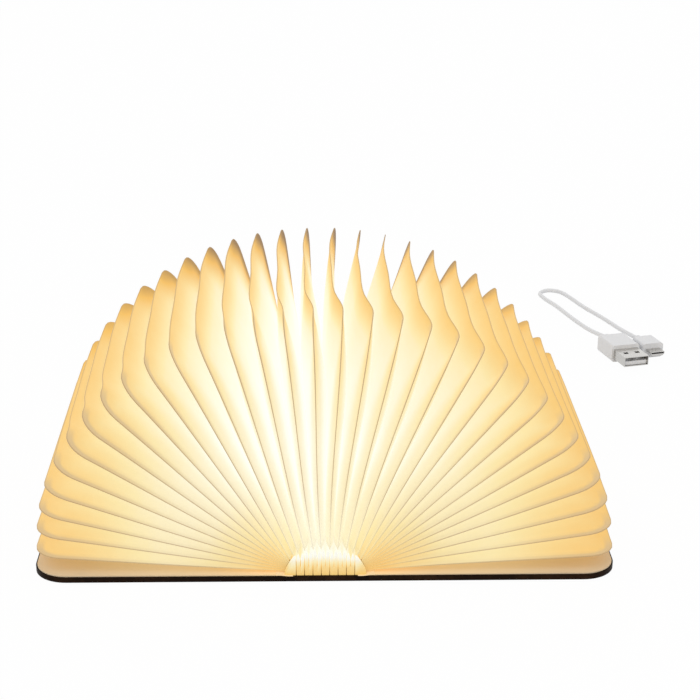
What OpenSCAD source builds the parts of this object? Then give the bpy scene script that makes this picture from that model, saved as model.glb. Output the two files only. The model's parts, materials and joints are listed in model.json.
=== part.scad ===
// Folding book lamp. Two rounded boards open flat on either side of a spine, and thirty-two
// paper leaves fan out between them over a light bar. Millimetres, front towards -Y.
// At rest the lamp lies open, as wide as it goes. Each leaf turns about the hinge line of
// its own cover and keeps its own distance from it, so the leaves lie flat side by side
// when the covers close.

/* [Covers] */
// Length of the covers and the spine along the hinge lines
cover_l = 122; // [100:1:150]
// Reach of a cover from its hinge line to its fore edge
cover_reach = 90; // [75:1:110]
// Thickness of the boards
board_t = 2; // [1.8:0.1:3]
// Radius of the two fore corners of a cover
corner_r = 12; // [4:1:25]
// Thickness of the paper that lines a cover
liner_t = 0.4; // [0.2:0.1:0.6]
// Inset of the liner from the edges of its cover
liner_inset = 0.5; // [0.3:0.1:4]
// Diameter of the magnets let into the covers
magnet_d = 6; // [4:0.5:8]
// Thickness of the magnets
magnet_t = 1; // [0.6:0.1:1.2]
// Distance of the magnets from the fore edge
magnet_edge = 8; // [6:0.5:14]

/* [Spine and hinges] */
// Distance between the two hinge lines
hinge_gap = 26; // [25:0.5:32]
// Width of the flexible strip at each hinge
strip_w = 4.4; // [4:0.2:5]
// Thickness of the flexible strip
strip_t = 1.6; // [1.4:0.1:1.8]
// Radius of the crease pressed along each strip
crease_r = 0.6; // [0.4:0.1:0.8]

/* [Leaves] */
// Inset of the leaves from the ends of the covers
leaf_inset = 2; // [1.5:0.5:6]
// Thickness of a leaf, two sheets of paper sealed at their rim
leaf_t = 0.26; // [0.2:0.02:0.3]
// Radius of the outer corners of a leaf
leaf_corner_r = 9; // [4:1:25]
// Inset of the lowest leaf from the fore edge of its cover
fan_inset = 0.5; // [0.5:0.5:5]
// Height of the open fan above the table
fan_h = 96.5; // [88:0.5:100]
// Leaves that lie closest together, on each side, when the lamp is closed
bundled = 12; // [8:1:14]
// Pitch of those leaves when the lamp is closed
leaf_pitch = 0.42; // [0.4:0.01:0.44]
// Gap left in the middle of the closed leaves, to each side
centre_gap = 1.1; // [0.6:0.1:2]
// Room between the liner and the first leaf when closed
first_gap = 0.4; // [0.3:0.05:0.6]
// Distance of the inner fold of the lowest leaf from its hinge line
root_in = 1.8; // [1.6:0.1:2.4]
// Room between the light bar and the inner folds of the middle leaves when closed
root_clear = 1.6; // [1.2:0.1:2.5]

/* [Light bar] */
// Width of the light bar
bar_w = 9.6; // [9:0.2:10]
// Height of the channel walls above the spine board
channel_h = 3; // [2.8:0.1:3.4]
// Rise of the diffuser above the channel walls
dome_rise = 2.3; // [1.8:0.1:2.6]
// Wall of the channel
channel_wall = 0.8; // [0.6:0.1:1]
// Wall of the diffuser
diffuser_wall = 0.7; // [0.5:0.1:1]
// Width of the glued flange of the channel, on each side
flange_w = 3.6; // [2:0.2:4]
// Thickness of the flange and of the channel floor
flange_t = 0.6; // [0.5:0.1:0.8]
// Board left under the light bar
board_skin = 0.8; // [0.6:0.1:1]
// Thickness of the two end caps
cap_t = 1; // [0.8:0.1:1.5]
// Number of light chips
chip_count = 12; // [6:1:14]
// Thickness of the circuit boards
pcb_t = 0.6; // [0.5:0.1:0.8]
// Length of the battery
battery_l = 66; // [40:1:70]

/* [Pleated foot] */
// Room between the foot and the inner folds of the leaves
foot_clear = 0.3; // [0.25:0.05:0.5]
// Width of the slits between the folds
slit_w = 0.4; // [0.3:0.05:0.6]
// Pitch of the long slits in the front of the foot
slit_pitch = 3; // [2.6:0.1:3.2]
// Thickness of the front of the foot
foot_front_t = 1.3; // [1:0.1:2]

/* [Charging socket] */
// Width of the socket shell
socket_w = 7.5; // [7.4:0.05:7.6]
// Height of the socket shell
socket_h = 2.7; // [2.6:0.05:2.8]
// Depth of the socket shell
socket_l = 5.6; // [5:0.1:6]
// Wall of the socket shell
socket_wall = 0.3; // [0.25:0.05:0.4]

/* [Charging lead] */
// Diameter of the lead
lead_d = 2; // [1.6:0.1:2.6]
// Width of the moulded grip of the large plug
grip_w = 14; // [13:0.5:16]
// Thickness of that grip
grip_t = 8; // [7:0.5:9]
// Length of that grip
grip_l = 16; // [14:1:20]
// Width of the moulded grip of the small plug
small_grip_w = 10.6; // [9:0.2:12]
// Thickness of that grip
small_grip_t = 7; // [6:0.2:8]
// Length of that grip
small_grip_l = 11; // [9:1:14]
// Length of the strain relief behind each grip
relief_l = 5.5; // [4:0.5:8]

/* [Hidden] */
LEAVES = 16;
SIDES = ["left", "right"];
function leaf_name(side, k) = str(side, "_leaf_", k < 10 ? "0" : "", k);

hinge_x = hinge_gap / 2;
hinge_z = board_t / 2;
board_half_w = hinge_x - strip_w / 2;
fore_x = hinge_x + cover_reach;
crease_z = hinge_z + 0.4;

// The light bar runs from just behind the pleated front to the rear edge of the spine.
foot_front_y = -cover_l / 2 + 0.5;
bar_front_y = foot_front_y + foot_front_t + 0.3;
bar_rear_y = cover_l / 2 - 0.6;
channel_top = board_t + channel_h;
bar_top = channel_top + dome_rise;
channel_floor = board_skin + flange_t;
inner_half_w = bar_w / 2 - channel_wall;
dome_r = (pow(bar_w / 2, 2) + pow(dome_rise, 2)) / (2 * dome_rise);
dome_z = bar_top - dome_r;
ledge_w = 0.5;
led_z = channel_top - 0.7;
fit = 0.1;

socket_z = channel_floor + pcb_t;
charge_board_l = 26;
led_rear_y = bar_rear_y - cap_t - socket_l - 2;
indicator_d = 1.6;

// Each leaf: its distance from the hinge line, where its tip lies in the open fan,
// the angle it then stands at, and how far along it its inner fold and fore edge are.
first_offset = hinge_z + liner_t + first_gap;
last_offset = hinge_x - centre_gap;
bundle_offset = first_offset + (bundled - 1) * leaf_pitch;
middle_pitch = (last_offset - bundle_offset) / (LEAVES - bundled);
function leaf_offset(k) =
    k <= bundled ? first_offset + (k - 1) * leaf_pitch
                 : bundle_offset + (k - bundled) * middle_pitch;
function fan_angle(k) = 90 * (k - 0.5) / LEAVES;
function tip_from_hinge(k) = [
    (fore_x - fan_inset) * cos(fan_angle(k)) - hinge_x,
    board_t + (fan_h - board_t) * sin(fan_angle(k)) - hinge_z];
function leaf_angle(k) =
    let (t = tip_from_hinge(k)) atan2(t[1], t[0]) - asin(leaf_offset(k) / norm(t));
function leaf_reach(k) = sqrt(pow(norm(tip_from_hinge(k)), 2) - pow(leaf_offset(k), 2));
function smooth(t) = t * t * (3 - 2 * t);
root_top = bar_top - hinge_z + root_clear;
function leaf_root(k) = root_in + (root_top - root_in) * smooth((k - 1) / (LEAVES - 1));

// Point of the foot's outline just inside the inner fold of leaf k.
function foot_point(k) =
    let (a = leaf_angle(k) + atan2(leaf_offset(k), leaf_root(k)),
         r = norm([leaf_offset(k), leaf_root(k)]) - foot_clear)
    [hinge_x + r * cos(a), hinge_z + r * sin(a)];
foot_lip = 1.3;

// The lead lies on the table behind the right cover, folded in one long loop.
lead_r = lead_d / 2;
large_z = grip_t / 2;
small_z = small_grip_t / 2;
plug_turn = -75;
large_at = [139, 182];
small_at = [154, 182];
lead_route = [
    [139, 182, large_z], [138.5, 184, large_z], [134, 201, 1.6], [128.5, 220, 1],
    [123, 240, 1], [118.5, 253, 1], [117.5, 261, 1], [122, 266, 1], [128, 263.5, 1],
    [132, 254, 1], [137, 238, 1], [144, 220, 1], [149.5, 202, 1.4],
    [153.5, 184, small_z], [154, 182, small_z]];
lead_sides = 8;
lead_steps = 4;

// Rounded shapes

module fore_rounded(from_x, to_x, length, r) {
    translate([from_x, -length / 2])
        square([to_x - from_x - r, length]);
    translate([from_x, r - length / 2])
        square([to_x - from_x, length - 2 * r]);
    for (s = [-1, 1])
        translate([to_x - r, s * (length / 2 - r)])
            circle(r, $fn = 96);
}

module rounded_rect(size, r) {
    square([size[0] - 2 * r, size[1]], center = true);
    square([size[0], size[1] - 2 * r], center = true);
    for (sx = [-1, 1], sy = [-1, 1])
        translate([sx * (size[0] / 2 - r), sy * (size[1] / 2 - r)])
            circle(r, $fn = 48);
}

// A section in X and Z, carried along Y from y0 to y1.
module along_y(y0, y1) {
    translate([0, y1, 0])
        rotate([90, 0, 0])
            linear_extrude(y1 - y0)
                children();
}

module left_side() {
    mirror([1, 0, 0])
        children();
}

// Covers

module magnet_places() {
    for (s = [-1, 1])
        translate([fore_x - magnet_edge - magnet_d / 2, s * cover_l / 3, 0])
            children();
}

module cover_board() {
    color("#3b2218")
    difference() {
        linear_extrude(board_t)
            fore_rounded(hinge_x + strip_w / 2, fore_x, cover_l, corner_r);
        magnet_places()
            translate([0, 0, board_t - magnet_t])
                cylinder(d = magnet_d + 2 * fit, h = magnet_t + 1, $fn = 64);
    }
}

module cover_magnets() {
    color("silver")
    magnet_places()
        translate([0, 0, board_t - magnet_t])
            cylinder(d = magnet_d, h = magnet_t, $fn = 64);
}

module liner() {
    color("#efe3cf")
    translate([0, 0, board_t])
        linear_extrude(liner_t)
            fore_rounded(hinge_x + strip_w / 2 + liner_inset, fore_x - liner_inset,
                         cover_l - 2 * liner_inset, corner_r - liner_inset);
}

// Spine

module spine_board() {
    color("#3b2218")
    difference() {
        translate([-board_half_w, -cover_l / 2, 0])
            cube([2 * board_half_w, cover_l, board_t]);
        translate([-bar_w / 2 - fit, bar_front_y - fit, board_skin])
            cube([bar_w + 2 * fit, cover_l, board_t]);
    }
}

module hinge_strip() {
    color("#2c1912")
    difference() {
        translate([board_half_w, -cover_l / 2, 0])
            cube([strip_w, cover_l, strip_t]);
        translate([hinge_x, 0, crease_z])
            rotate([90, 0, 0])
                cylinder(r = crease_r, h = cover_l + 2, center = true, $fn = 48);
    }
}

// Light bar

module dome(r) {
    intersection() {
        translate([0, dome_z])
            circle(r, $fn = 120);
        translate([-bar_w, channel_top])
            square([2 * bar_w, bar_w]);
    }
}

module channel_section() {
    difference() {
        union() {
            translate([-bar_w / 2, board_skin])
                square([bar_w, channel_top - board_skin]);
            translate([-bar_w / 2 - flange_w, board_t])
                square([bar_w + 2 * flange_w, flange_t]);
        }
        translate([-inner_half_w, channel_floor])
            square([2 * inner_half_w, channel_top]);
    }
    for (s = [-1, 1])
        translate([s * (inner_half_w - ledge_w / 2) - ledge_w / 2, led_z - ledge_w])
            square([ledge_w, ledge_w]);
}

module bar_channel() {
    color("#f2f2ee")
    difference() {
        along_y(bar_front_y + cap_t, bar_rear_y - cap_t)
            channel_section();
        translate([-inner_half_w, led_rear_y + 1, led_z - ledge_w - fit])
            cube([2 * inner_half_w, cover_l, ledge_w + 2 * fit]);
    }
}

module light_diffuser() {
    color("#fff6dc")
    along_y(bar_front_y + cap_t, bar_rear_y - cap_t)
        difference() {
            dome(dome_r);
            dome(dome_r - diffuser_wall);
        }
}

module end_cap_section() {
    dome(dome_r);
    translate([-bar_w / 2, board_skin])
        square([bar_w, channel_top - board_skin]);
}

module front_end_cap() {
    color("#f2f2ee")
    along_y(bar_front_y, bar_front_y + cap_t)
        end_cap_section();
}

module rear_end_cap() {
    color("#f2f2ee")
    difference() {
        along_y(bar_rear_y - cap_t, bar_rear_y)
            end_cap_section();
        translate([-socket_w / 2 - fit, bar_rear_y - cap_t - 1, socket_z - fit])
            cube([socket_w + 2 * fit, cap_t + 2, socket_h + 2 * fit]);
        translate([0, bar_rear_y, indicator_z()])
            rotate([90, 0, 0])
                cylinder(d = indicator_d + fit, h = 3 * cap_t, center = true, $fn = 32);
    }
}

function indicator_z() = (socket_z + socket_h + bar_top) / 2 + 0.1;

module charge_indicator() {
    color("#e8f4e8")
    translate([0, bar_rear_y, indicator_z()])
        rotate([90, 0, 0])
            cylinder(d = indicator_d, h = cap_t, $fn = 32);
}

module led_board() {
    color("#f7f7f2")
    translate([-inner_half_w + fit, bar_front_y + cap_t + 0.5, led_z])
        cube([2 * (inner_half_w - fit), led_rear_y - bar_front_y - cap_t - 0.5, pcb_t]);
}

module led_chips() {
    first_y = bar_front_y + cap_t + 6;
    pitch = (led_rear_y - 5 - first_y) / (chip_count - 1);
    color("#ffe9a8")
    for (i = [0:chip_count - 1])
        translate([-1.4, first_y + i * pitch - 1.75, led_z + pcb_t])
            cube([2.8, 3.5, 0.7]);
}

module battery_cell() {
    color("#b9c2cc")
    along_y(bar_front_y + cap_t + 4, bar_front_y + cap_t + 4 + battery_l)
        translate([0, (channel_floor + led_z - ledge_w) / 2])
            rounded_rect([2 * (inner_half_w - 2 * fit),
                          led_z - ledge_w - channel_floor], 0.9);
}

module charge_board() {
    color("#1f6b45")
    translate([-inner_half_w + fit, bar_rear_y - cap_t - charge_board_l, channel_floor])
        cube([2 * (inner_half_w - fit), charge_board_l, pcb_t]);
}

module hall_sensor() {
    color("#222222")
    translate([-1.5, bar_rear_y - cap_t - charge_board_l + 2, socket_z])
        cube([3, 1.6, 0.8]);
}

module usb_socket() {
    color("#c9ccd1")
    translate([0, 0, socket_z + socket_h / 2])
        difference() {
            translate([-socket_w / 2, bar_rear_y - socket_l, -socket_h / 2])
                cube([socket_w, socket_l, socket_h]);
            translate([-socket_w / 2 + socket_wall, bar_rear_y - socket_l + socket_wall,
                       -socket_h / 2 + socket_wall])
                cube([socket_w - 2 * socket_wall, socket_l, socket_h - 2 * socket_wall]);
        }
    color("#202020")
    translate([-1.9, bar_rear_y - socket_l + socket_wall / 2, socket_z + socket_h / 2 - 0.1])
        cube([3.8, socket_l - 1.2, 0.6]);
}

// Leaves

module leaf(k) {
    root = leaf_root(k);
    color("#ffe7b0")
    translate([hinge_x, 0, hinge_z])
        rotate([0, -leaf_angle(k), 0])
            translate([0, 0, leaf_offset(k)]) {
                linear_extrude(leaf_t, center = true)
                    fore_rounded(root, leaf_reach(k), cover_l - 2 * leaf_inset,
                                 leaf_corner_r);
                translate([root, 0, 0])
                    rotate([90, 0, 0])
                        cylinder(d = leaf_t, h = cover_l - 2 * leaf_inset,
                                 center = true, $fn = 24);
            }
}

// Foot of pleats: a folded paper block over the light bar, half of it on each side.

module foot_section() {
    difference() {
        polygon(concat(
            [[0, board_t], [hinge_x + foot_lip, board_t]],
            [for (k = [1:LEAVES]) foot_point(k)],
            [[0, foot_point(LEAVES)[1] + foot_clear]]));
        for (k = [3:LEAVES])
            translate([hinge_x, hinge_z])
                rotate(leaf_angle(k))
                    translate([leaf_root(k) - 1.2, leaf_offset(k) - leaf_t / 2])
                        square([2, leaf_t]);
    }
}

module bar_room() {
    translate([-bar_w / 2 - foot_clear, 0])
        square([bar_w + 2 * foot_clear, channel_top + foot_clear]);
    translate([-bar_w / 2 - flange_w - foot_clear, 0])
        square([bar_w + 2 * (flange_w + foot_clear), board_t + flange_t + foot_clear]);
    dome(dome_r + foot_clear);
}

module pleat_foot() {
    rear_y = cover_l / 2 - leaf_inset;
    slit_top = foot_point(LEAVES)[1] + 1;
    color("#ffe2a0")
    difference() {
        along_y(foot_front_y, rear_y)
            foot_section();
        along_y(foot_front_y + foot_front_t, rear_y + 1)
            bar_room();
        for (i = [0:3]) {
            translate([(i + 0.5) * slit_pitch - slit_w / 2, foot_front_y - 1,
                       board_t + 0.6])
                cube([slit_w, foot_front_t + 1.2, slit_top]);
            translate([i * slit_pitch - slit_w / 2, foot_front_y - 1, board_t + 1.6])
                cube([slit_w, foot_front_t + 1.2, 3]);
        }
    }
}

// Charging lead

// Point of a smooth line through the route, t of the way from point i to point i + 1.
function route_point(i, t) =
    let (n = len(lead_route),
         a = lead_route[max(i - 1, 0)],
         b = lead_route[i],
         c = lead_route[i + 1],
         d = lead_route[min(i + 2, n - 1)],
         p = 0.5 * (2 * b + (c - a) * t + (2 * a - 5 * b + 4 * c - d) * t * t
                    + (3 * b - a - 3 * c + d) * t * t * t))
    [p[0], p[1], max(p[2], lead_r)];
lead_line = concat(
    [for (i = [0:len(lead_route) - 2]) for (j = [0:lead_steps - 1])
        route_point(i, j / lead_steps)],
    [lead_route[len(lead_route) - 1]]);
function unit(v) = v / norm(v);
plug_way = [cos(plug_turn), sin(plug_turn), 0];
function line_way(i) =
    i == 0 ? -plug_way
    : i == len(lead_line) - 1 ? plug_way
    : unit(lead_line[i + 1] - lead_line[i - 1]);

module charge_cable() {
    rings = len(lead_line);
    points = [
        for (i = [0:rings - 1])
            let (w = line_way(i), side = unit(cross(w, [0, 0, 1])), up = cross(side, w))
            for (j = [0:lead_sides - 1])
                let (a = 360 * (j + 0.5) / lead_sides)
                lead_line[i] + lead_r * (cos(a) * side + sin(a) * up)];
    walls = [
        for (i = [0:rings - 2]) for (j = [0:lead_sides - 1])
            let (n = (j + 1) % lead_sides, a = i * lead_sides, b = a + lead_sides)
            each [[a + j, a + n, b + n], [a + j, b + n, b + j]]];
    last = (rings - 1) * lead_sides;
    ends = [
        for (j = [1:lead_sides - 2])
            each [[0, j + 1, j], [last, last + j, last + j + 1]]];
    color("#e9e9ea")
    polyhedron(points, concat(walls, ends));
}

module at_plug(place, z) {
    translate([place[0], place[1], z])
        rotate([0, 0, plug_turn])
            children();
}

// A section in Y and Z, carried along X.
module along_x(x0, x1) {
    translate([x0, 0, 0])
        rotate([90, 0, 90])
            linear_extrude(x1 - x0)
                children();
}

module strain_relief(r0, r1) {
    rotate([0, 90, 0])
        difference() {
            cylinder(r1 = r0, r2 = r1, h = relief_l, $fn = 48);
            for (i = [1:3])
                translate([0, 0, i * relief_l / 4 - 0.2])
                    difference() {
                        cylinder(r = r1 + 1, h = 0.4, $fn = 48);
                        cylinder(r = r0 - 0.3, h = 0.4, $fn = 48);
                    }
        }
}

shell_l = 12;
shell_w = 12;
shell_t = 4.5;
shell_wall = 0.3;
small_shell_l = 5.4;
small_shell_w = 6.9;
small_shell_t = 1.9;

module usb_a_overmold() {
    color("#ececed")
    at_plug(large_at, large_z) {
        strain_relief(2.2, 2.8);
        along_x(relief_l, relief_l + grip_l)
            rounded_rect([grip_w, grip_t], 1.6);
        translate([relief_l + grip_l, -shell_w / 2 + shell_wall + fit,
                   -shell_t / 2 + shell_wall + fit])
            cube([shell_l - 1, shell_w - 2 * (shell_wall + fit), 1.8]);
    }
}

module usb_a_shell() {
    x0 = relief_l + grip_l;
    color("#b8bbc0")
    at_plug(large_at, large_z)
        difference() {
            translate([x0, -shell_w / 2, -shell_t / 2])
                cube([shell_l, shell_w, shell_t]);
            translate([x0 - 1, -shell_w / 2 + shell_wall, -shell_t / 2 + shell_wall])
                cube([shell_l + 2, shell_w - 2 * shell_wall, shell_t - 2 * shell_wall]);
            for (s = [-1, 1])
                translate([x0 + 5, s * 2.8 - 1.1, -shell_t])
                    cube([2.2, 2.2, 2 * shell_t]);
        }
}

module micro_usb_overmold() {
    color("#ececed")
    at_plug(small_at, small_z) {
        strain_relief(1.9, 2.5);
        along_x(relief_l, relief_l + small_grip_l)
            rounded_rect([small_grip_w, small_grip_t], 1.6);
    }
}

module micro_usb_shell() {
    w = small_shell_w / 2;
    t = small_shell_t / 2;
    color("#b8bbc0")
    at_plug(small_at, small_z)
        along_x(relief_l + small_grip_l, relief_l + small_grip_l + small_shell_l)
            difference() {
                polygon([[-w, t], [-w, 0], [t - w, -t], [w - t, -t], [w, 0], [w, t]]);
                translate([shell_wall - w, 0.1])
                    square([2 * (w - shell_wall), t - 0.1 - shell_wall / 2]);
            }
}

left_side() cover_board();  // left_cover_board
cover_board();  // right_cover_board
left_side() liner();  // left_liner
liner();  // right_liner
left_side() cover_magnets();  // left_cover_magnets
cover_magnets();  // right_cover_magnets
spine_board();
left_side() hinge_strip();  // left_hinge_strip
hinge_strip();  // right_hinge_strip
bar_channel();
light_diffuser();
led_board();
led_chips();
battery_cell();
charge_board();
usb_socket();
charge_indicator();
hall_sensor();
front_end_cap();
rear_end_cap();
left_side() pleat_foot();  // left_pleat_foot
pleat_foot();  // right_pleat_foot
for (k = [1:LEAVES]) {
    left_side() leaf(k);
    leaf(k);
}
charge_cable();
usb_a_overmold();
usb_a_shell();
micro_usb_overmold();
micro_usb_shell();
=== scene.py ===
import json
import math
import bpy
import numpy as np
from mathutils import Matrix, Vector


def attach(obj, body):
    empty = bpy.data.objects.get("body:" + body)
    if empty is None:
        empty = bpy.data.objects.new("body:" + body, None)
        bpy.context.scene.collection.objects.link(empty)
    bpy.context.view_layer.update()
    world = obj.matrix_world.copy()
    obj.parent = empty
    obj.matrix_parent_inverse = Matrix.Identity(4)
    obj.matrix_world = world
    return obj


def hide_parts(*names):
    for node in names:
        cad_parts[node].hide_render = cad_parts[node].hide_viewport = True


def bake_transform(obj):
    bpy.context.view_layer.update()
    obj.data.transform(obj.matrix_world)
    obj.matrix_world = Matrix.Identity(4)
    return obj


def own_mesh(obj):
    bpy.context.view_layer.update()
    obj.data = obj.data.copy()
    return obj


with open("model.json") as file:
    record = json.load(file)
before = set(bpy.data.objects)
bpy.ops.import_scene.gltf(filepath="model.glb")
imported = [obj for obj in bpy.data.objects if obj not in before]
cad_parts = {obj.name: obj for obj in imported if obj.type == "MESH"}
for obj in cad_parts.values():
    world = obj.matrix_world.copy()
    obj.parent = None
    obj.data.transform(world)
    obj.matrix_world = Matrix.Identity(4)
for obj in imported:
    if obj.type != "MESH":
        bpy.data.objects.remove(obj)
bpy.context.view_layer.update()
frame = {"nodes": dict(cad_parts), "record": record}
nodes = frame["nodes"]
slotOf = {part["node"]: part["material_slot"] for part in frame["record"]["subparts"]}
mm = 0.001                                    # sizes below are in millimetres
sides = (("left", -1), ("right", 1))
print("frame loaded,", len(nodes), "solids")


cameraPlan = {
    "lens": 89.4,                             # long lens, as in a catalogue picture
    "distance": 656,
    "elevation": 22.65,                       # degrees above the table
    "azimuth": -0.85,                         # a touch to the left of straight on
    "target": (0, 0, 30),
    "shift": (0.0386, 0.1223),                # the lamp sits low in the picture
    "sensor": 36,
    "clip": (0.05, 30),                       # metres
}


def placeCamera(plan):
    up, turn = math.radians(plan["elevation"]), math.radians(plan["azimuth"])
    back = Vector((math.sin(turn) * math.cos(up), -math.cos(turn) * math.cos(up), math.sin(up)))
    data = bpy.data.cameras.new("camera")
    data.sensor_width, data.lens = plan["sensor"], plan["lens"]
    data.shift_x, data.shift_y = plan["shift"]
    data.clip_start, data.clip_end = plan["clip"]
    camera = bpy.data.objects.new("camera", data)
    bpy.context.scene.collection.objects.link(camera)
    camera.location = Vector(plan["target"]) * mm + back * plan["distance"] * mm
    camera.rotation_mode = "QUATERNION"
    camera.rotation_quaternion = (-back).to_track_quat("-Z", "Y")
    bpy.context.scene.camera = camera


placeCamera(cameraPlan)
print("camera placed")


def buildPiece(name, points, faces, finish=None, smooth=True, marks=None, flip=False):
    # points in millimetres; marks are numbers kept at each point for the finish
    mesh = bpy.data.meshes.new(name)
    mesh.from_pydata([tuple(float(v) * mm for v in p) for p in points], [],
                     [tuple(f)[::-1] if flip else tuple(f) for f in faces])
    mesh.validate()
    mesh.update()
    mesh.polygons.foreach_set("use_smooth", [smooth] * len(mesh.polygons))
    for mark, values in (marks or {}).items():
        layer = mesh.attributes.new(mark, "FLOAT", "POINT")
        layer.data.foreach_set("value", np.asarray(values, np.float32))
    if finish:
        mesh.materials.append(finish)
    piece = bpy.data.objects.new(name, mesh)
    bpy.context.scene.collection.objects.link(piece)
    return piece


def tubeFaces(rings, n, start=0):             # rings of n points each, closed at both ends
    faces = []
    for i in range(rings - 1):
        for j in range(n):
            k = (j + 1) % n
            faces.append(tuple(start + i * n + corner for corner in (j, k, n + k, n + j)))
    last = start + (rings - 1) * n
    faces.append(tuple(range(start, start + n))[::-1])
    faces.append(tuple(range(last, last + n)))
    return faces


def smoothstep(t):
    t = np.clip(t, 0, 1)
    return t * t * (3 - 2 * t)


def fadeIn(value, span):                      # from 0 to 1, over a span of (start, width)
    return smoothstep((value - span[0]) / span[1])


leadPlan = {
    "route": [(139, 182, 4), (138.5, 184, 4), (134, 201, 1.6), (128.5, 220, 1),
              (123, 240, 1), (118.5, 253, 1), (117.5, 261, 1), (122, 266, 1),
              (128, 263.5, 1), (132, 254, 1), (137, 238, 1), (144, 220, 1),
              (149.5, 202, 1.4), (153.5, 184, 3.5), (154, 182, 3.5)],
    "diameter": 2,
    "steps": 6,
    "sides": 20,
    "plugTurn": -75,                          # way the plugs point, seen from above
    "plugs": ("usb_a_overmold", "usb_a_shell", "micro_usb_overmold", "micro_usb_shell"),
}


def leadLine(plan):
    route, line = [np.array(p, float) for p in plan["route"]], []
    last = len(route) - 1
    for i in range(last):
        a, b, c, d = route[max(i - 1, 0)], route[i], route[i + 1], route[min(i + 2, last)]
        for j in range(plan["steps"]):
            t = j / plan["steps"]
            p = 0.5 * (2 * b + (c - a) * t + (2 * a - 5 * b + 4 * c - d) * t * t
                       + (3 * b - a - 3 * c + d) * t ** 3)
            line.append((p[0], p[1], max(p[2], plan["diameter"] / 2)))
    return np.array(line + [tuple(route[last])])


def buildLead(plan):
    line, n, r = leadLine(plan), plan["sides"], plan["diameter"] / 2
    turn = math.radians(plan["plugTurn"])
    plugWay = np.array([math.cos(turn), math.sin(turn), 0])
    last = len(line) - 1
    points = []
    for i, p in enumerate(line):
        way = line[min(i + 1, last)] - line[max(i - 1, 0)]
        if i == 0:
            way = -plugWay
        if i == last:
            way = plugWay
        way = way / np.linalg.norm(way)
        across = np.cross(way, (0, 0, 1))
        across /= np.linalg.norm(across)
        over = np.cross(across, way)
        for j in range(n):
            a = 2 * math.pi * j / n
            points.append(p + r * (math.cos(a) * across + math.sin(a) * over))
    lead = buildPiece("lead", points, tubeFaces(len(line), n))
    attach(lead, "spine")
    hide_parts("charge_cable")
    length = float(np.linalg.norm(np.diff(line, axis=0), axis=1).sum())
    print("lead laid,", round(length), "mm")
    return lead


lead = buildLead(leadPlan)


class Wire:                                   # a socket that takes part in sums
    def __init__(self, bench, socket):
        self.bench, self.socket = bench, socket

    def sum(self, how, a, b):
        return self.bench.add("ShaderNodeMath", {"operation": how}, {0: a, 1: b})

    def __add__(self, other):
        return self.sum("ADD", self, other)

    def __radd__(self, other):
        return self.sum("ADD", other, self)

    def __sub__(self, other):
        return self.sum("SUBTRACT", self, other)

    def __rsub__(self, other):
        return self.sum("SUBTRACT", other, self)

    def __mul__(self, other):
        return self.sum("MULTIPLY", self, other)

    def __rmul__(self, other):
        return self.sum("MULTIPLY", other, self)


class Bench:                                  # where the nodes of one tree are put together
    def __init__(self, tree):
        self.tree = tree
        tree.nodes.clear()

    def put(self, kind, settings=None, sockets=None):
        node = self.tree.nodes.new(kind)
        for name, value in (settings or {}).items():
            if name == "stops":
                while len(node.color_ramp.elements) < len(value):
                    node.color_ramp.elements.new(1)
                for stop, (at, colour) in zip(node.color_ramp.elements, value):
                    stop.position, stop.color = at, (*colour, 1)
            else:
                setattr(node, name, value)
        for name, value in (sockets or {}).items():
            if isinstance(value, Wire):
                self.tree.links.new(value.socket, node.inputs[name])
            else:
                node.inputs[name].default_value = value
        return node

    def add(self, kind, settings=None, sockets=None, out=0):
        return Wire(self, self.put(kind, settings, sockets).outputs[out])


class Finish(Bench):
    def __init__(self, name, **fixed):        # fixed: what is the same all over
        self.material = bpy.data.materials.new(name)
        self.material.use_nodes = True
        super().__init__(self.material.node_tree)
        self.shader = self.put("ShaderNodeBsdfPrincipled", None,
                               {socket.replace("_", " "): value for socket, value in fixed.items()})
        self.output = self.put("ShaderNodeOutputMaterial", None, {0: Wire(self, self.shader.outputs[0])})

    def place(self, stretch=(1, 1, 1)):       # metres on the piece, drawn out
        spot = self.add("ShaderNodeTexCoord", out=3)
        return self.add("ShaderNodeVectorMath", {"operation": "MULTIPLY"}, {0: spot, 1: stretch})

    def noise(self, scale, detail=3, rough=0.5, stretch=(1, 1, 1)):
        return self.add("ShaderNodeTexNoise", None, {"Vector": self.place(stretch), "Scale": scale,
                                                     "Detail": detail, "Roughness": rough})

    def mark(self, name):
        return self.add("ShaderNodeAttribute", {"attribute_name": name}, out=2)

    def ramp(self, value, stops):
        return self.add("ShaderNodeValToRGB", {"stops": stops}, {0: value})

    def mix(self, share, a, b, how="MIX"):
        a, b = (c if isinstance(c, Wire) else (*c, 1) for c in (a, b))
        return self.add("ShaderNodeMix", {"data_type": "RGBA", "blend_type": how, "clamp_factor": True},
                        {0: share, 6: a, 7: b}, out=2)

    def bump(self, height, strength, depth):  # depth in millimetres
        return self.add("ShaderNodeBump", None, {"Height": height, "Strength": strength,
                                                 "Distance": depth * mm})

    def feed(self, **sockets):
        for name, value in sockets.items():
            self.tree.links.new(value.socket, self.shader.inputs[name.replace("_", " ")])
        return self.material


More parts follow.
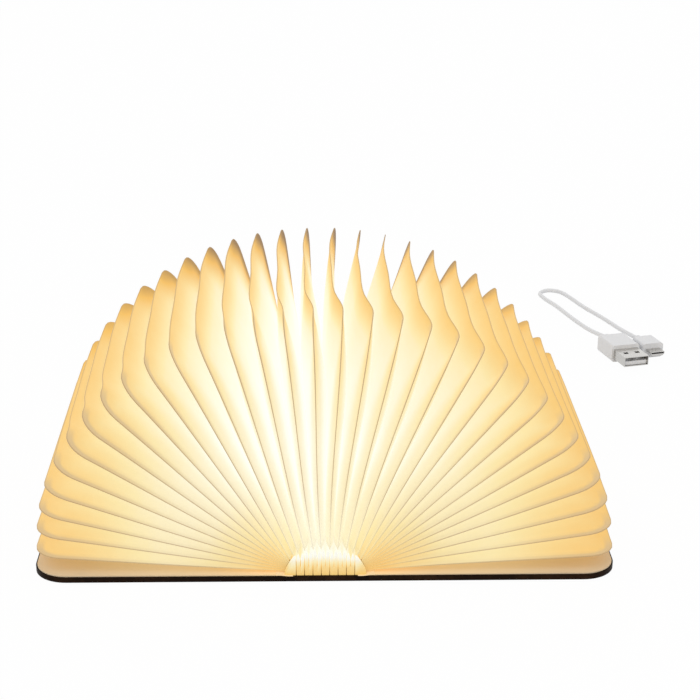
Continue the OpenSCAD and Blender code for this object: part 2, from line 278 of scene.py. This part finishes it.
paperLook = {
    "glow": 0.55,                             # light that comes through the paper
    "reflect": (0.46, 0.46, 0.46),            # light that the paper sends back
    # colours of the painted glow, dim to bright; the base colour takes them too
    "glowTones": [(0.0, (0.13, 0.07, 0.03)), (0.2, (0.34, 0.19, 0.05)), (0.33, (0.72, 0.43, 0.09)),
              (0.43, (0.94, 0.58, 0.13)), (0.53, (0.96, 0.66, 0.24)), (0.64, (0.98, 0.77, 0.37)),
              (0.75, (0.99, 0.87, 0.52)), (0.86, (1.0, 0.93, 0.71)), (0.96, (1.0, 1.0, 0.92))],
    # painted shade: colour of the seam line, darker where the doubled sheets let less light through
    "seamShadeColour": (0.46, 0.28, 0.12),
    # painted shade: colour of the unlit flange band near the front corners
    "rimShadeColour": (0.64, 0.50, 0.31),
    "cloud": {"scale": 70, "share": 0.05},    # slow changes of tone over a sheet
    "fibre": {"scale": 420, "share": 0.04, "stretch": (1, 0.35, 1)},
}


def litPaper(name, look):
    f = Finish(name, Roughness=0.62, Emission_Strength=look["glow"], Sheen_Weight=0.1, Specular_IOR_Level=0.3)
    cloud = f.noise(look["cloud"]["scale"], 4, 0.6)
    fibre = f.noise(look["fibre"]["scale"], 6, 0.7, look["fibre"]["stretch"])
    tone = f.mark("glow") + (cloud - 0.5) * look["cloud"]["share"] + (fibre - 0.5) * look["fibre"]["share"]
    colour = f.ramp(tone, look["glowTones"])
    # painted shade: a beige band on the unlit flange near the front corners
    colour = f.mix(f.mark("beige"), colour, look["rimShadeColour"])
    # painted shade along the glued seam
    colour = f.mix(f.mark("seam"), colour, look["seamShadeColour"])
    # painted light and shade: the base colour follows the painted glow as well
    paper = f.mix(1.0, colour, look["reflect"], "MULTIPLY")
    return f.feed(Base_Color=paper, Emission_Color=colour, Normal=f.bump(fibre, 0.25, 0.15))


walnutLook = {
    "dark": (0.004, 0.0015, 0.001), "mid": (0.012, 0.005, 0.002), "light": (0.032, 0.014, 0.006),
    "figure": 38, "grain": 520, "pores": 1144,
    "figureStretch": (1, 0.16, 1), "grainStretch": (1, 0.03, 1), "poreStretch": (1, 0.05, 1),
}


def walnut(name, look):
    f = Finish(name, Coat_Roughness=0.5, Specular_IOR_Level=0.04)
    figure = f.noise(look["figure"], 3, 0.55, look["figureStretch"])
    grain = f.noise(look["grain"], 5, 0.65, look["grainStretch"])
    pores = f.noise(look["pores"], 2, 0.5, look["poreStretch"])
    tone = figure * 0.6 + grain * 0.5 - 0.05
    colour = f.ramp(tone, [(0.3, look["dark"]), (0.5, look["mid"]), (0.72, look["light"])])
    pit = f.ramp(pores, [(0.3, (1, 1, 1)), (0.42, (0, 0, 0))])
    colour = f.mix(pit * 0.5, colour, look["dark"])
    return f.feed(Base_Color=colour, Roughness=0.38 + grain * 0.2, Coat_Weight=0.005 + figure * 0.015,
                  Normal=f.bump(grain - pit * 0.4, 0.25, 0.06))


linerLook = {
    "paper": (0.66, 0.53, 0.37), "fibreColour": (0.62, 0.54, 0.42), "fibre": 600,
    "litWarmth": (0.90, 0.60, 0.28),               # painted light: the paper painted warmer beside the light bar
    "glowNear": (0.74, 0.55, 0.28), "glowFar": (0.06, 0.045, 0.025),
    "fade": [(0.1, (1, 1, 1)), (0.45, (0.42, 0.42, 0.42)), (1.0, (0.12, 0.12, 0.12))],
    "reach": 85,                              # millimetres from the middle to where the light has faded
}


def linerPaper(name, look):
    f = Finish(name, Roughness=0.8, Emission_Strength=0.42, Sheen_Weight=0.15)
    fibre = f.noise(look["fibre"], 5, 0.65)
    across = f.add("ShaderNodeSeparateXYZ", None, {0: f.place()})
    away = f.add("ShaderNodeMath", {"operation": "ABSOLUTE"}, {0: across}) * (1 / (look["reach"] * mm))
    near = f.ramp(away, look["fade"])
    # painted light: the base colour is painted warmer near the middle, beside the light bar
    colour = f.mix(near * 0.75, look["paper"], look["litWarmth"])
    paper = f.mix(fibre * 0.12, colour, look["fibreColour"])
    glow = f.mix(near, look["glowFar"], look["glowNear"])
    return f.feed(Base_Color=paper, Emission_Color=glow, Normal=f.bump(fibre, 0.2, 0.1))


clothLook = {"colour": (0.006, 0.003, 0.002), "threads": 620, "wear": 90}


def spineCloth(name, look):                   # the woven strip at the hinges
    f = Finish(name, Roughness=0.8, Specular_IOR_Level=0.05)

    def threads(way):
        return f.add("ShaderNodeTexWave", {"wave_type": "BANDS", "bands_direction": way},
                     {"Vector": f.place(), "Scale": look["threads"], "Distortion": 0.6, "Detail": 1})

    weave = threads("X") * 0.5 + threads("Y") * 0.5
    wear = f.noise(look["wear"], 3)
    raised, worn = (tuple(c * lighter for c in look["colour"]) for lighter in (2.2, 1.7))
    shade = f.mix(weave * 0.6, look["colour"], raised)
    return f.feed(Base_Color=f.mix(wear * 0.3, shade, worn), Normal=f.bump(weave, 0.4, 0.08))


def mouldedPlastic(name, colour, gloss=0.35, grain=900, glow=0.0):
    f = Finish(name, Specular_IOR_Level=0.45, Emission_Strength=glow)
    spark = f.noise(grain, 3, 0.6)
    cloud = f.noise(60, 2)
    shade = f.mix(cloud * 0.35, colour, tuple(c * 0.93 for c in colour))
    sockets = {"Base_Color": shade, "Roughness": gloss + spark * 0.12, "Normal": f.bump(spark, 0.12, 0.05)}
    if glow:
        sockets["Emission_Color"] = f.mix(cloud * 0.2, (1.0, 0.93, 0.74), (1.0, 0.86, 0.55))
    return f.feed(**sockets)


def plainMetal(name, colour, rough=0.28, brush=700, stretch=(1, 1, 1)):
    f = Finish(name)
    lines = f.noise(brush, 4, 0.6, stretch)
    smear = f.noise(55, 3)
    shade = f.mix(smear * 0.4, colour, tuple(c * 0.82 for c in colour))
    return f.feed(Base_Color=shade, Roughness=rough + lines * 0.14, Metallic=0.96 + lines * 0.04,
                  Normal=f.bump(lines, 0.1, 0.04))


finishes = {
    "lit_paper": litPaper("lit_paper_finish", paperLook),
    "dark_board": walnut("walnut_finish", walnutLook),
    "liner_paper": linerPaper("liner_finish", linerLook),
    "hinge_strip": spineCloth("hinge_cloth_finish", clothLook),
    "magnet_steel": plainMetal("magnet_finish", (0.62, 0.62, 0.64), 0.22, 300),
    "white_plastic": mouldedPlastic("bar_plastic_finish", (0.80, 0.79, 0.76)),
    "diffuser_plastic": mouldedPlastic("diffuser_finish", (0.86, 0.80, 0.66), 0.5, 700, 0.9),
    "white_pcb": mouldedPlastic("light_board_finish", (0.82, 0.84, 0.82), 0.4, 500),
    "led_phosphor": mouldedPlastic("phosphor_finish", (0.86, 0.66, 0.14), 0.45, 800, 1.0),
    "cell_foil": plainMetal("cell_foil_finish", (0.70, 0.71, 0.73), 0.35, 200),
    "green_pcb": mouldedPlastic("charge_board_finish", (0.03, 0.16, 0.07), 0.35, 400),
    "plug_steel": plainMetal("plug_steel_finish", (0.56, 0.55, 0.53), 0.2, 500, (0.2, 1, 1)),
    "indicator_lens": mouldedPlastic("indicator_finish", (0.65, 0.12, 0.08), 0.12, 500),
    "black_chip": mouldedPlastic("sensor_finish", (0.015, 0.015, 0.017), 0.4, 600),
    "lead_sheath": mouldedPlastic("lead_sheath_finish", (0.78, 0.78, 0.79), 0.34, 1200),
    "grip_plastic": mouldedPlastic("grip_finish", (0.76, 0.76, 0.77), 0.3, 1100),
}


def dress(piece, finish):
    piece.data.materials.clear()
    piece.data.materials.append(finish)


for node, solid in nodes.items():
    dress(solid, finishes[slotOf[node]])
dress(lead, finishes["lead_sheath"])
print("finishes mixed")


fanPlan = {
    "leaves": 16,
    "hinge": (13, 1),                         # hinge line beside the spine
    "boardTop": 2, "linerTop": 2.5, "lowest": 2.45,
    "firstGap": 1.8, "pitch": 0.42, "bundled": 12, "lastGap": 11.9,
    "tipAcross": 102.5, "tipUp": 96.5,        # the fan's outline, a quarter of an oval
    "halfLength": 59,
    "corner": 9,
    "rim": 0.3,                               # two sheets, glued
    "flange": 2.0,                            # width of the glued rim
    "puffTop": 40, "puffSide": (2.5, 3.7),    # how far in from its edges a leaf is full
    "rearPuff": 1.1,                          # how much farther in at the rear half
    "roundness": 1.1,
    "leastRoom": 0.2,
    "fill": 0.95,                             # share of the room between two leaves
    "keep": 0.03,
    # where each leaf leaves the foot, lowest leaf first
    "roots": [(14.2, 3.3), (14.1, 3.8), (14, 4.2), (13.95, 4.6), (13.8, 4.9), (13.7, 5.1), (13.6, 5.4),
              (13.45, 5.7), (13.2, 6.1), (12.9, 6.6), (12.35, 7.5), (11.2, 9), (9.6, 10.2), (7.25, 11),
              (4.3, 11.3), (1.5, 11.4)],
    # columns in front of the middle, and rows from the top edge to the root, as shares
    "columns": [-47, -43.5, -39.5, -35, -30, -24, -17, -9, 0],
    "cornerTurns": (90, 72, 58, 45, 32, 18, 0),
    "rows": [0, 0.005, 0.012, 0.022, 0.036, 0.055, 0.085, 0.125, 0.175, 0.235, 0.305,
             0.385, 0.475, 0.575, 0.675, 0.765, 0.845, 0.91, 0.96, 1],
}

# How a leaf leaves its flat shape, for some leaves counted from the lowest, in millimetres: its top
# edge moves to the right by the first six numbers, from the front corner to the rear one, the leaf
# grows by the seventh and its tip moves up, towards the middle of the fan, by the eighth. The leaves
# between follow smoothly.
bends = {
    "left": {1: (1, 1, -0.5, -1, -1.5, 1, 0, 1.5), 4: (1, 1, -0.5, -1, -1.5, 1, 1.5, -1.5),
             6: (1.5, 3, 0, -1.5, -2.5, 0, 2, -2), 11: (1.5, 1, 0, -0.5, -1, 1.5, 1.5, -0.5),
             16: (2.5, 3, 0.5, 0.5, 0, 2, 0, -2)},
    "right": {1: (1, 1, -0.5, -1, -1.5, 1, 0, 3), 4: (1, 1, -0.5, -1, -1.5, 1, 0.5, 3),
              6: (0, 1, -0.5, -1.5, -1.5, 2, 0, 1), 11: (1, 3, 0.5, 0.5, 0, 2, 0, 1),
              16: (2.5, 3, 0.5, 0, 0, 3, 0, 2)},
}
bendAt = (0, 0.1, 0.25, 0.5, 0.75, 1)         # where along the top edge the six numbers stand


def curveThrough(at, values, q):              # a smooth curve through the given values
    at, values = np.array(at, float), np.array(values, float)
    slope = np.gradient(values, at)
    i = np.clip(np.searchsorted(at, q, "right") - 1, 0, len(at) - 2)
    wide = at[i + 1] - at[i]
    t = np.clip((q - at[i]) / wide, 0, 1)
    return (values[i] * (2 * t ** 3 - 3 * t ** 2 + 1) + values[i + 1] * (3 * t ** 2 - 2 * t ** 3)
            + wide * (slope[i] * (t ** 3 - 2 * t ** 2 + t) + slope[i + 1] * (t ** 3 - t ** 2)))


def bendOf(k, side):
    at = list(bends[side])
    return [float(curveThrough(at, values, k)) for values in zip(*bends[side].values())]


def leafLine(k, side, p):                     # the leaf seen from the front, root to tip
    first, last = p["firstGap"], p["lastGap"]
    bundle = first + (p["bundled"] - 1) * p["pitch"]
    step = (last - bundle) / (p["leaves"] - p["bundled"])
    offset = first + (k - 1) * p["pitch"] if k <= p["bundled"] else bundle + (k - p["bundled"]) * step
    fan = math.radians(90 * (k - 0.5) / p["leaves"])
    hx, hz = p["hinge"]
    across = p["tipAcross"] * math.cos(fan) - hx
    up = p["boardTop"] + (p["tipUp"] - p["boardTop"]) * math.sin(fan) - hz
    far = math.hypot(across, up)
    angle = math.atan2(up, across) - math.asin(offset / far)
    c, s = math.cos(angle), math.sin(angle)
    *wave, more, lift = bendOf(k, side)
    reach = math.sqrt(far * far - offset * offset) + more
    rx, rz = p["roots"][k - 1]
    over = offset + lift
    return {"offset": offset, "fan": fan, "cos": c, "sin": s, "reach": reach, "wave": wave, "lift": lift,
            "root": np.array([rx, rz]),
            "tip": np.array([hx + reach * c - over * s, hz + reach * s + over * c]),
            "rootAlong": (rx - hx) * c + (rz - hz) * s,
            "rootOver": -(rx - hx) * s + (rz - hz) * c - offset}


def gapTo(point, line):                       # distance from a point to a leaf's line
    way = line["tip"] - line["root"]
    way = way / np.linalg.norm(way)
    d = point - line["root"]
    return np.abs(d[..., 0] * way[1] - d[..., 1] * way[0])


glowPlan = {                                  # how bright a leaf is, along it from the hinge
    "lowest": [(0, 0.54), (8, 0.57), (14, 0.66), (20, 0.71), (30, 0.75), (45, 0.78), (70, 0.66),
               (92, 0.56)],
    "highest": [(0, 0.86), (8, 0.88), (14, 0.91), (20, 0.94), (30, 0.97), (45, 0.98), (70, 0.94),
                (84, 0.87), (95, 0.68)],
    "highFrom": 80,                           # degrees up the fan
    "rise": [(8, 2.5), (30, 0.45), (50, 0.45), (75, 0.9)],
    "frontLoss": [(8, 0.02), (30, 0.14), (60, 0.21), (80, 0.30), (95, 0.18)], "frontDepth": 13,
    "rearLoss": 0.46, "rearFrom": (30, 29), "rearAlong": (42, 36),
    "left": 1.02, "right": 0.975,
}


def leafGlow(side, along, y, d, fan, g):
    high = np.clip(fan / math.radians(g["highFrom"]), 0, 1)
    low = np.interp(along, *zip(*g["lowest"]))
    top = np.interp(along, *zip(*g["highest"]))
    light = (low + (top - low) * high ** np.interp(along, *zip(*g["rise"]))) * g[side]
    loss = np.interp(along, *zip(*g["frontLoss"])) * (0.3 + 0.7 * high)
    light = light - loss * (1 - smoothstep(d / g["frontDepth"]))
    return light - g["rearLoss"] * high * fadeIn(y, g["rearFrom"]) * fadeIn(along, g["rearAlong"])


rimPlan = {                                   # painted shade: a dark seam line where the glued sheets let less light through, and a beige band of unlit rim near the front corners
    "opening": (0, 30),                       # from the root on
    "seam": (0.08, 0.5), "seamWidth": (0.05, 0.45),
    "beige": (0.25, 0.5), "beigeAlong": (40, 45), "beigeFront": (42, 12), "beigeWidth": (1.6, 1.6),
}


def leafRim(fromRoot, along, y, d, r):
    out = fadeIn(fromRoot, r["opening"])
    # painted shade along the seam, fading out near the root
    seam = (r["seam"][0] + r["seam"][1] * out) * (1 - fadeIn(d, r["seamWidth"]))
    # painted shade: a beige band on the unlit flange, towards the front corners
    beige = out * (r["beige"][0] + r["beige"][1] * fadeIn(along, r["beigeAlong"]))
    return seam, beige * fadeIn(-y, r["beigeFront"]) * (1 - fadeIn(d, r["beigeWidth"]))


def leafGrid(line, p):                        # y, way along from the hinge line, way in from the rim
    half, r, reach, root = p["halfLength"], p["corner"], line["reach"], line["rootAlong"]
    turns = [math.radians(a) for a in p["cornerTurns"]]
    front = [(-(half - r) - r * math.sin(a), reach - r * (1 - math.cos(a))) for a in turns]
    front += [(y, reach) for y in p["columns"]]
    columns = front + [(-y, s) for y, s in reversed(front[:-1])]
    y = np.array([[y] * len(p["rows"]) for y, s in columns])
    s = np.array([[s - (s - root) * t for t in p["rows"]] for y, s in columns])
    inY, inS = np.abs(y) - (half - r), s - (reach - r)
    d = np.where((inY > 0) & (inS > 0), r - np.hypot(inY, inS), np.minimum(half - np.abs(y), reach - s))
    return y, s, np.maximum(d, 0)


def leafFaces(cols, rows):                    # two sheets, joined round their rim
    at = lambda sheet, i, j: (sheet * cols + i) * rows + j
    faces = []
    for i in range(cols - 1):
        for j in range(rows - 1):
            faces.append((at(0, i, j), at(0, i, j + 1), at(0, i + 1, j + 1), at(0, i + 1, j)))
            faces.append((at(1, i + 1, j), at(1, i + 1, j + 1), at(1, i, j + 1), at(1, i, j)))
    rim = [(0, j) for j in range(rows - 1, 0, -1)] + [(i, 0) for i in range(cols)]
    rim += [(cols - 1, j) for j in range(1, rows)] + [(i, rows - 1) for i in range(cols - 2, -1, -1)]
    for (i, j), (u, v) in zip(rim, rim[1:] + rim[:1]):
        faces.append((at(0, i, j), at(0, u, v), at(1, u, v), at(1, i, j)))
    return faces


def buildLeaf(side, way, k, p):
    line = leafLine(k, side, p)
    half, reach, root, offset = p["halfLength"], line["reach"], line["rootAlong"], line["offset"]
    hx, hz = p["hinge"]
    y, s, d = leafGrid(line, p)
    t = np.clip((s - root) / (reach - root), 0, 1)
    over = offset + line["rootOver"] * (1 - t) + line["lift"] * t
    wave = curveThrough(bendAt, line["wave"], (y + half) / (2 * half)) * fadeIn(s, (18, 75))
    place = np.stack([hx + s * line["cos"] - over * line["sin"],
                      hz + s * line["sin"] + over * line["cos"]], -1)
    roomUp = gapTo(place, leafLine(k + 1, side, p)) / 2 if k < p["leaves"] else place[..., 0]
    roomDown = gapTo(place, leafLine(k - 1, side, p)) / 2 if k > 1 else place[..., 1] - p["linerTop"]
    openness = 0.2 + 0.8 * fadeIn(s, (15, 45))
    flange = p["flange"] * openness
    points = []
    for sheet, room in ((1, roomUp), (-1, roomDown)):
        room = np.maximum(room, p["leastRoom"])
        top = np.clip((reach - s - flange) / p["puffTop"], 0, 1)
        deep = (p["puffSide"][0] + p["puffSide"][1] * room) * (1 + p["rearPuff"] * (y > 0))
        edge = np.clip((half - np.abs(y) - flange) / deep, 0, 1)
        full = (np.sin(np.pi / 2 * top) * np.sin(np.pi / 2 * edge)) ** p["roundness"]
        full = full * smoothstep((d - flange) / (1 + 3 * openness))
        thick = p["rim"] / 2 + p["fill"] * np.maximum(room - p["rim"] / 2, 0) * full
        n = over + sheet * thick - way * wave
        x = hx + s * line["cos"] - n * line["sin"]
        z = np.maximum(hz + s * line["sin"] + n * line["cos"], p["lowest"])
        points.append(np.stack([way * x, y, z], -1).reshape(-1, 3))
    glow = leafGlow(side, s, y, d, line["fan"], glowPlan)
    seam, beige = leafRim(s - root, s, y, d, rimPlan)
    marks = {"glow": glow, "seam": seam, "beige": beige}
    node = f"{side}_leaf_{k:02d}"
    piece = buildPiece(f"{side}_paper_leaf_{k:02d}", np.concatenate(points), leafFaces(*y.shape),
                       finishes["lit_paper"], marks={m: np.tile(v.ravel(), 2) for m, v in marks.items()},
                       flip=way < 0)
    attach(piece, node)
    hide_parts(node)
    anchor = (way * (hx - offset * line["sin"]) * mm, 0, (hz + offset * line["cos"]) * mm)
    -way * line["sin"]
    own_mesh(piece)


for side, way in sides:
    for k in range(1, fanPlan["leaves"] + 1):
        buildLeaf(side, way, k, fanPlan)
print("leaves folded")


footPlan = {
    "front": -60.5, "back": -59.3, "rear": 59, "overlap": 0.2,
    "bottom": 2.05,
    "teeth": 7, "tooth": 1.47, "slit": 0.24, "shortSlitFrom": 5.1,
    "outline": [(0, 11.6), (4.2, 11.5), (7.4, 11.1), (9.6, 10.1), (11.2, 8.8), (12.4, 7.3), (13.2, 5.9),
                (13.8, 4.7), (14.35, 2.05)],
    "peaks": (0.15, -0.5, 0.3, -0.2, 0.1, -0.5, -0.1),      # teeth above the outline
    "ridge": 1.0, "valley": 2.6,              # below the outline
    "bodySide": [(14.2, 2.05), (13.5, 4.6), (12.6, 6.3), (11.6, 7.6)],
    "flankSide": [(14.4, 2.05), (14.3, 3.3), (13.85, 4.7), (13.25, 5.9), (12.45, 7.2), (11.7, 8.2),
                  (11.1, 9.0)],
    "flankTop": 9.3,
    # how bright, by height
    "bodyGlow": [(2, 0.10), (6, 0.12), (8, 0.8), (10, 1.0)],
    "toothGlow": [(2, 0.5), (4, 0.52), (6, 0.62), (7.2, 0.86), (8.4, 1.02), (11, 1.08)],
    "flankGlow": [(2, 0.48), (4, 0.5), (6, 0.62), (7.6, 0.88), (9, 1.0)],
    "edge": 0.1,
    "keep": 0.77,
}


def toothOutline(i, top, p):                  # long slits beside every second tooth, short slits between
    x0, x1 = i * p["tooth"], (i + 1) * p["tooth"]
    a, b = x0 + p["slit"] / 2, x1 - p["slit"] / 2
    low0, low1 = (x0, b) if i % 2 == 0 else (a, x1)
    mid = (a + b) / 2
    peak = top(mid) + p["peaks"][i]
    slitEnd = p["shortSlitFrom"]
    return [(low0, p["bottom"]), (low1, p["bottom"]), (low1, slitEnd - 0.2), (b, slitEnd + 0.2),
            (b, peak - 2.2), (mid + 0.3, peak - 0.6), (mid + 0.05, peak), (mid - 0.3, peak - 0.8),
            (a, peak - 2.4), (a, slitEnd + 0.2), (low0, slitEnd - 0.2)]


def buildFoot(side, way, p):
    top = lambda x: float(np.interp(x, *zip(*p["outline"])))
    points, faces, glow = [], [], []

    def prism(corners, y0, y1, light):        # corners run round as seen from the front
        faces.extend(tubeFaces(2, len(corners), len(points)))
        for y in (y0, y1):
            for x, z in corners:
                points.append((way * x, y, z))
                glow.append(float(np.interp(z, *zip(*light))))

    # pleats over the light bar, a ridge under each leaf and a valley between two
    ridge = [(0, top(0) - p["valley"])]
    for i in range(1, p["teeth"] + 1):
        x = i * p["tooth"]
        ridge.append((x, top(x) - (p["ridge"] if i % 2 else p["valley"])))
    prism([(0, p["bottom"])] + p["bodySide"] + ridge[::-1], p["back"], p["rear"], p["bodyGlow"])
    # teeth and a flank in front
    behind = p["back"] + p["overlap"]
    for i in range(p["teeth"]):
        prism(toothOutline(i, top, p), p["front"], behind, p["toothGlow"])
    inside = p["teeth"] * p["tooth"] + p["slit"] / 2
    flank = [(inside, p["bottom"])] + p["flankSide"] + [(inside, p["flankTop"])]
    prism(flank, p["front"], behind, p["flankGlow"])
    plain = [0] * len(points)
    piece = buildPiece(f"{side}_pleats", points, faces, finishes["lit_paper"], smooth=False,
                       marks={"glow": glow, "seam": plain, "beige": plain}, flip=way < 0)
    soften = piece.modifiers.new("soften", "BEVEL")
    soften.width, soften.segments = p["edge"] * mm, 2
    soften.limit_method, soften.angle_limit = "ANGLE", 0.6
    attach(piece, "spine")
    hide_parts(f"{side}_pleat_foot")
    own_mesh(piece)


for side, way in sides:
    buildFoot(side, way, footPlan)
print("foot pleated")


stripPlan = {
    "from": 10.8, "to": 15.2, "crease": 13, "creaseWidth": 0.45,
    "thick": 2.0, "dip": 0.1, "underside": 0.25,            # the crease below, as a share of the dip
    "halfLength": 61,
    "paper": [(11.4, 2.2), (13, 2.2), (14.6, 2.35), (16, 2.52), (17.4, 2.5)], "paperThick": 0.2,
    "bend": (11.4, 14.6),
    "clothPoints": 17, "paperPoints": 15, "along": 25,
}


def layStrip(name, upper, lower, way, finish, p):           # a strip along the hinge, between two lines
    ring = list(upper) + list(lower)[::-1]
    points = [(way * x, y, z) for y in np.linspace(-p["halfLength"], p["halfLength"], p["along"])
              for x, z in ring]
    strip = buildPiece(name, points, tubeFaces(p["along"], len(ring)), finish, flip=way > 0)
    for end in (-1, -2):
        strip.data.polygons[end].use_smooth = False
    return strip


def buildStrip(side, way, p):
    across = np.linspace(p["from"], p["to"], p["clothPoints"])
    dip = p["dip"] * np.exp(-((across - p["crease"]) / p["creaseWidth"]) ** 2)
    cloth = layStrip(f"{side}_hinge_cloth", zip(across, p["thick"] - dip), zip(across, p["underside"] * dip),
                     way, finishes["hinge_strip"], p)
    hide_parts(f"{side}_hinge_strip")
    # the paper that runs over the cloth, from the foot to the liner
    xs, zs = zip(*p["paper"])
    across = np.linspace(xs[0], xs[-1], p["paperPoints"])
    height = curveThrough(xs, zs, across)
    paper = layStrip(f"{side}_hinge_paper", zip(across, height), zip(across, height - p["paperThick"]),
                     way, finishes["liner_paper"], p)
    for strip in (cloth, paper):
        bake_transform(strip)


for side, way in sides:
    buildStrip(side, way, stripPlan)
print("hinge strips glued")


lightPlan = {
    "sky": 0.62,
    "backdrop": 1.0,
    "aim": (0, 0, 0.03),
    "key": {"at": (-0.9, -1.0, 1.5), "size": 1.4, "power": 9},
    "fill": {"at": (1.2, -0.7, 0.9), "size": 1.4, "power": 3.2},
    "rim": {"at": (0.2, 1.3, 1.2), "size": 1.0, "power": 3.5},
}

tablePlan = {
    "half": 12, "below": 0.0002,              # metres
    "colour": (0.93, 0.93, 0.93, 1),
    "whiteShare": 0.97,                       # how much of it is plain white; the rest shows the shadow
}


def seenDirectly(bench):                      # by the camera, or in metal or through glass
    path = lambda ray: bench.add("ShaderNodeLightPath", out=ray)
    seen = path("Is Camera Ray") + path("Is Glossy Ray") + path("Is Transmission Ray")
    return bench.add("ShaderNodeClamp", None, {0: seen})


def layTable(plan):
    reach = plan["half"] / mm
    corners = [(-reach, -reach, 0), (reach, -reach, 0), (reach, reach, 0), (-reach, reach, 0)]
    f = Finish("table_finish", Base_Color=plan["colour"], Roughness=0.9, Specular_IOR_Level=0.1)
    white = f.add("ShaderNodeEmission", None, {"Color": (1, 1, 1, 1), "Strength": 1.0})
    both = f.add("ShaderNodeMixShader", None, {0: seenDirectly(f) * plan["whiteShare"],
                                               1: Wire(f, f.shader.outputs[0]), 2: white})
    f.tree.links.new(both.socket, f.output.inputs[0])
    table = buildPiece("table", corners, [(0, 1, 2, 3)], f.material, smooth=False)
    table.location.z = -plan["below"]


def paintSky(plan):
    world = bpy.data.worlds.new("sky")
    bpy.context.scene.world = world
    world.use_nodes = True
    bench = Bench(world.node_tree)
    level = seenDirectly(bench) * (plan["backdrop"] - plan["sky"]) + plan["sky"]
    sky = bench.add("ShaderNodeBackground", None, {"Color": (1, 1, 1, 1), "Strength": level})
    bench.put("ShaderNodeOutputWorld", None, {0: sky})


def hangLamp(name, plan, aim):
    data = bpy.data.lights.new(name, "AREA")
    data.size, data.energy = plan["size"], plan["power"]
    lamp = bpy.data.objects.new(name, data)
    bpy.context.scene.collection.objects.link(lamp)
    lamp.location = plan["at"]
    lamp.rotation_mode = "QUATERNION"
    lamp.rotation_quaternion = (Vector(plan["at"]) - Vector(aim)).to_track_quat("Z", "Y")
    lamp.visible_camera = False


layTable(tablePlan)
paintSky(lightPlan)
for name in ("key", "fill", "rim"):
    hangLamp(name, lightPlan[name], lightPlan["aim"])
bpy.context.scene.view_settings.view_transform = "Standard"
print("table laid and lit")
